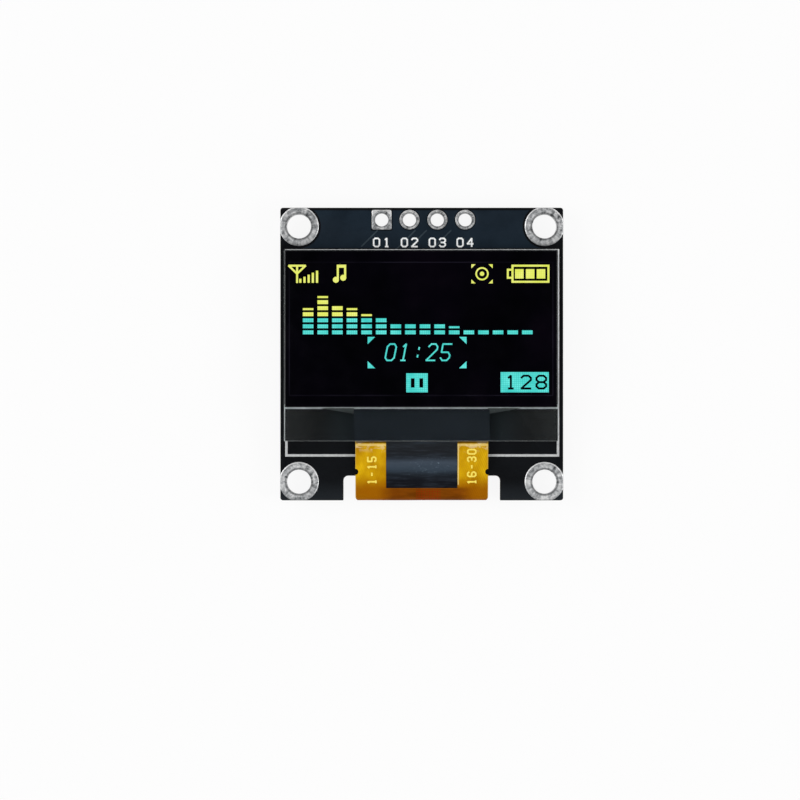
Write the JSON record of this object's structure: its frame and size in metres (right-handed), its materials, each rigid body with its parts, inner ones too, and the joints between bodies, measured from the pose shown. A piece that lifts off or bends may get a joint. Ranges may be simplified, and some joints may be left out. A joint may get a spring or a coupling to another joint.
{
  "type": "small oled module",
  "caption": "Small display module: a two-colour glass panel on a black circuit board, with corner mounting holes, a row of header holes and a flex cable bent round the board's edge.",
  "frame": {"origin": "middle of the circuit board, at the level of the tallest parts on its back, on which the module lies", "axes": "+Z out of the display face, +Y along the board towards the header holes, +X to the right as the picture is read"},
  "size_m": [0.0258, 0.0266, 0.004],
  "materials": {
    "board_mask": "black solder mask, satin, over woven glass laminate",
    "white_ink": "printed white ink",
    "tin": "hot-dipped tin and solder, mottled",
    "foam_tape": "black foam tape",
    "panel_glass": "clear display glass, dark from what lies behind it",
    "drying_film": "matt drying film",
    "clear_seal": "cured resin",
    "emitter_film": "dark organic layer with a metal back",
    "dark_film": "black polarizing film, glossy",
    "lit_yellow": "glowing yellow dots",
    "lit_blue": "glowing blue dots",
    "thin_metal": "thin metal traces",
    "silicon": "back of a bare silicon chip",
    "black_sealant": "black-grey sealant",
    "polyimide": "orange polyimide with copper inside, glossy",
    "black_cover": "blue-black film, satin, scuffed",
    "pale_ink": "pale print",
    "moulding": "black moulded epoxy",
    "tan_ceramic": "tan capacitor ceramic with tinned ends",
    "black_ceramic": "black-glazed resistor with tinned ends"
  },
  "bodies": {
    "root": {"circuit_board": "board_mask", "front_silkscreen": "white_ink", "back_silkscreen": "white_ink", "vias": "tin", "mount_eyelet_1": "tin", "mount_eyelet_2": "tin", "mount_eyelet_3": "tin", "mount_eyelet_4": "tin", "header_eyelet_1": "tin", "header_eyelet_2": "tin", "header_eyelet_3": "tin", "header_eyelet_4": "tin", "panel_tape": "foam_tape", "rear_glass": "panel_glass", "drying_film": "drying_film", "edge_seal": "clear_seal", "emitter_layer": "emitter_film", "front_glass": "panel_glass", "polarizer": "dark_film", "yellow_pixels": "lit_yellow", "blue_pixels": "lit_blue", "trace_fans": "thin_metal", "driver_chip": "silicon", "bond_sealant": "black_sealant", "flex_cable": "polyimide", "flex_cover": "black_cover", "flex_marking": "pale_ink", "flex_solder": "tin", "capacitor_1": "tan_ceramic", "capacitor_2": "tan_ceramic", "capacitor_3": "tan_ceramic", "capacitor_4": "tan_ceramic", "capacitor_5": "tan_ceramic", "capacitor_6": "tan_ceramic", "capacitor_7": "tan_ceramic", "capacitor_8": "tan_ceramic", "capacitor_9": "tan_ceramic", "resistor_1": "black_ceramic", "resistor_2": "black_ceramic", "resistor_3": "black_ceramic", "resistor_4": "black_ceramic", "resistor_5": "black_ceramic", "regulator_body": "moulding", "regulator_leads": "tin", "chip_solder": "tin"}
  },
  "joints": []
}
